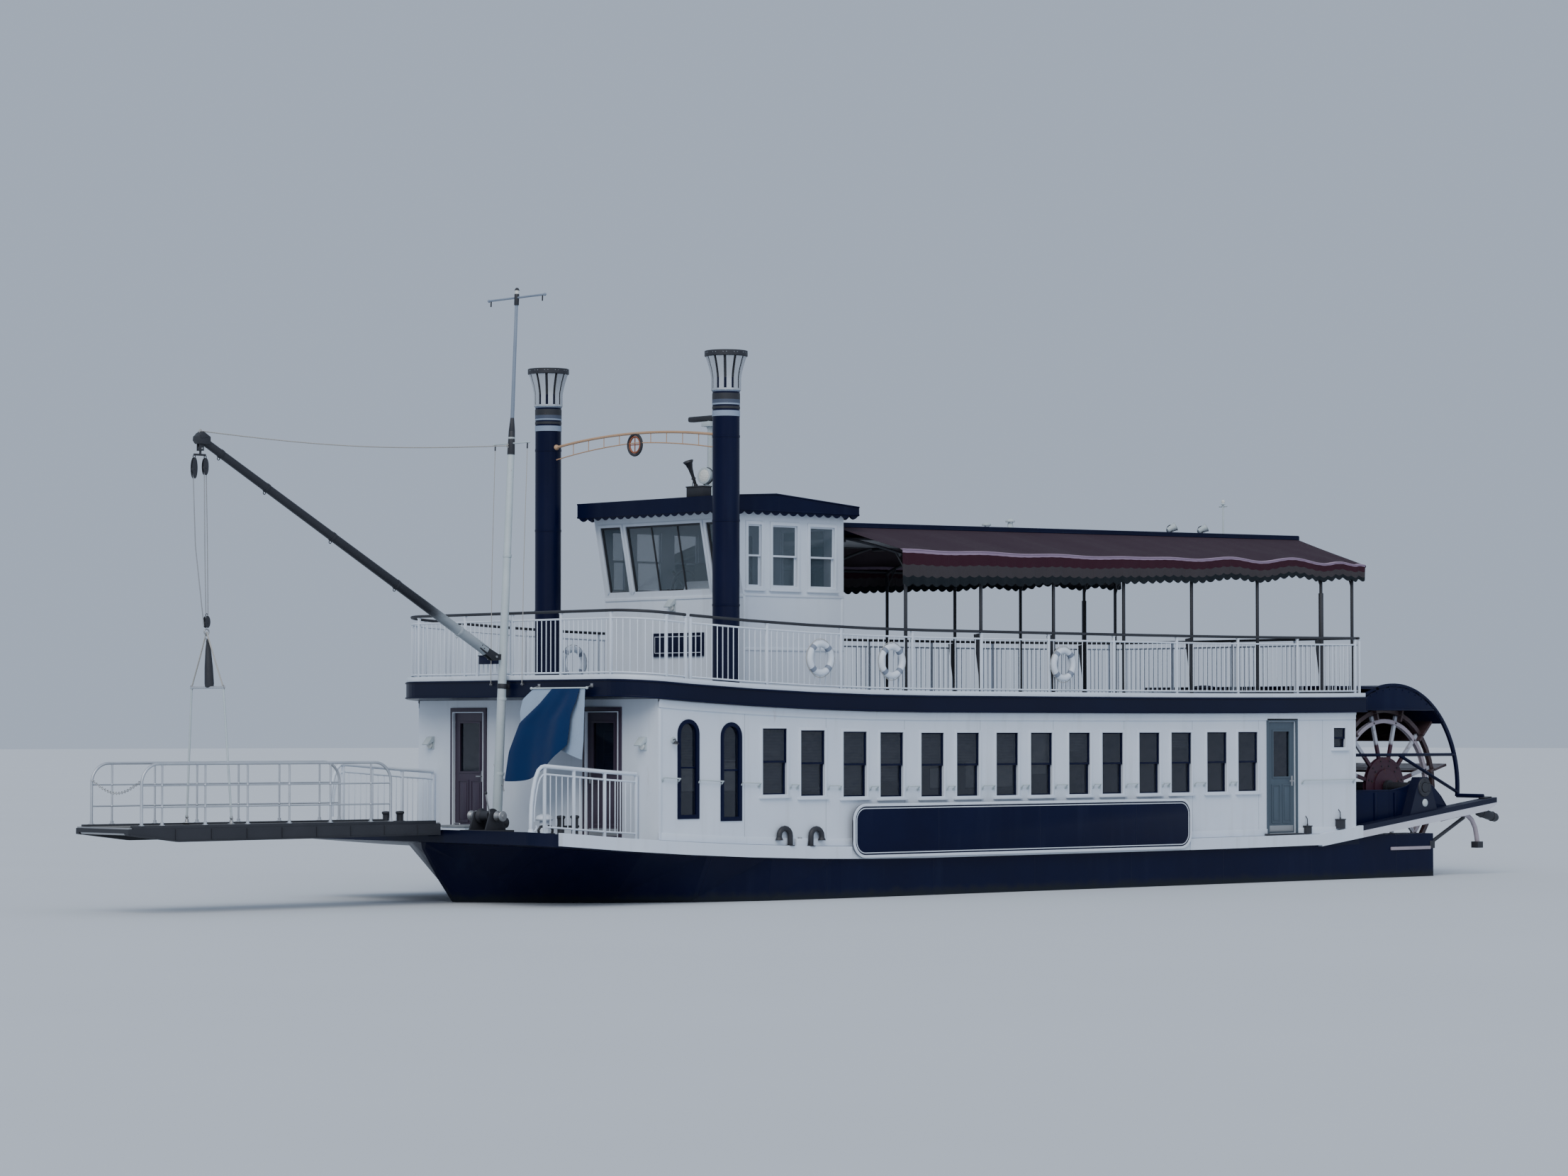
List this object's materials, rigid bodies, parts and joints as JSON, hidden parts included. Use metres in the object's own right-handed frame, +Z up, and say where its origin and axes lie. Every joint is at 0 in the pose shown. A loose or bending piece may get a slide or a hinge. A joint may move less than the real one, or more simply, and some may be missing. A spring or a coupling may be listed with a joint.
{
  "type": "stern-wheel paddle steamer",
  "caption": "Small stern-wheel excursion boat with a long cabin, open upper deck under an awning, pilothouse, two stacks, mast and a landing stage on a boom.",
  "frame": {"origin": "middle of the flat hull bottom, on the centreline", "axes": "+X towards the bow, +Y to port, +Z up"},
  "size_m": [29.1, 6.4112, 10.7611],
  "materials": {
    "navy_paint": "navy gloss paint, weathered at the waterline",
    "white_paint": "white marine paint",
    "deck_paint": "grey non-slip deck paint",
    "black_paint": "black satin paint",
    "silver_paint": "silver-grey paint",
    "pole_paint": "pale grey paint",
    "door_paint": "dark door paint with panels",
    "maroon_canvas": "maroon awning canvas",
    "wheel_red": "dark red paint",
    "paddle_wood": "dark wet painted boards"
  },
  "bodies": {
    "ship": {"hull": "navy_paint", "main_deck": "navy_paint", "guard_rail_port": "white_paint", "guard_rail_starboard": "white_paint", "wheel_timber_port": "white_paint", "wheel_timber_starboard": "white_paint", "cabin_wall_port": "white_paint", "cabin_wall_starboard": "white_paint", "cabin_front_wall": "white_paint", "cabin_back_wall": "white_paint", "name_board_port": "navy_paint", "name_board_starboard": "navy_paint", "upper_deck": "navy_paint", "upper_railing_front": "white_paint", "upper_railing_port": "white_paint", "upper_railing_starboard": "white_paint", "upper_railing_aft": "white_paint", "fore_railing_port": "white_paint", "fore_railing_starboard": "white_paint", "pilothouse_wall_port": "white_paint", "pilothouse_wall_starboard": "white_paint", "pilothouse_front_wall": "white_paint", "pilothouse_back_wall": "white_paint", "pilothouse_floor": "deck_paint", "pilothouse_roof": "navy_paint", "pilothouse_steps": "deck_paint", "stack_port": "navy_paint", "stack_starboard": "navy_paint", "stack_spreader": "black_paint", "radar_post": "pole_paint", "roof_horn": "black_paint", "canopy_top": "navy_paint", "canopy_frame_port": "black_paint", "canopy_frame_starboard": "black_paint", "awning_port": "maroon_canvas", "awning_starboard": "maroon_canvas", "mast": "pole_paint", "wheel_hood": "navy_paint"},
    "boom": {"boom": "black_paint"},
    "bridle": {"stage_bridle": "pole_paint"},
    "stage": {"landing_stage": "black_paint", "stage_railing_port": "silver_paint", "stage_railing_starboard": "silver_paint"},
    "paddle_wheel": {"wheel_shaft": "black_paint", "wheel_spider_port": "wheel_red", "wheel_spider_centre": "wheel_red", "wheel_spider_starboard": "wheel_red", "paddle_boards": "paddle_wood"},
    "rudder_port": {"rudder_port": "navy_paint"},
    "rudder_starboard": {"rudder_starboard": "navy_paint"},
    "front_door_port": {"front_door_port": "door_paint"},
    "front_door_starboard": {"front_door_starboard": "door_paint"},
    "side_door_port": {"side_door_port": "door_paint"},
    "side_door_starboard": {"side_door_starboard": "door_paint"},
    "pilothouse_door": {"pilothouse_door": "door_paint"}
  },
  "joints": [
    {"name": "wheel_turn", "type": "hinge", "parent": "ship", "child": "paddle_wheel", "pos_m": [-10.4, 0, 2.56], "axis": [0, 1, 0], "continuous": true},
    {"name": "boom_luff", "type": "hinge", "parent": "ship", "child": "boom", "pos_m": [9.24, 0, 4.8], "axis": [0, -1, 0], "range_deg": [-4, 20]},
    {"name": "bridle_hang", "type": "hinge", "parent": "boom", "child": "bridle", "pos_m": [14.89, 0, 7.88], "axis": [0, -1, 0], "range_deg": [-10.9, 2.3]},
    {"name": "stage_raise", "type": "hinge", "parent": "ship", "child": "stage", "pos_m": [10.86, 0, 2.03], "axis": [0, -1, 0], "range_deg": [-5.7, 28.1]},
    {"name": "rudder_port_turn", "type": "hinge", "parent": "ship", "child": "rudder_port", "pos_m": [-10.775, 2.73, 0.5], "axis": [0, 0, 1], "range_deg": [-35, 35]},
    {"name": "rudder_starboard_turn", "type": "hinge", "parent": "ship", "child": "rudder_starboard", "pos_m": [-10.775, -2.73, 0.5], "axis": [0, 0, 1], "range_deg": [-35, 35]},
    {"name": "front_door_port_swing", "type": "hinge", "parent": "ship", "child": "front_door_port", "pos_m": [8.296, 2.113, 2.9], "axis": [0, 0, -1], "range_deg": [0, 95]},
    {"name": "front_door_starboard_swing", "type": "hinge", "parent": "ship", "child": "front_door_starboard", "pos_m": [8.296, -2.113, 2.9], "axis": [0, 0, 1], "range_deg": [0, 95]},
    {"name": "side_door_port_swing", "type": "hinge", "parent": "ship", "child": "side_door_port", "pos_m": [-6.04, 2.961, 2.8], "axis": [0, 0, 1], "range_deg": [0, 90]},
    {"name": "side_door_starboard_swing", "type": "hinge", "parent": "ship", "child": "side_door_starboard", "pos_m": [-6.04, -2.961, 2.8], "axis": [0, 0, -1], "range_deg": [0, 90]},
    {"name": "pilothouse_door_swing", "type": "hinge", "parent": "ship", "child": "pilothouse_door", "pos_m": [3.284, -1.15, 6], "axis": [0, 0, -1], "range_deg": [0, 90]}
  ],
  "couplings": [
    {"joint": "bridle_hang", "follows": "boom_luff", "ratio": -0.54},
    {"joint": "stage_raise", "follows": "boom_luff", "ratio": 1.4},
    {"joint": "rudder_starboard_turn", "follows": "rudder_port_turn", "ratio": 1}
  ]
}
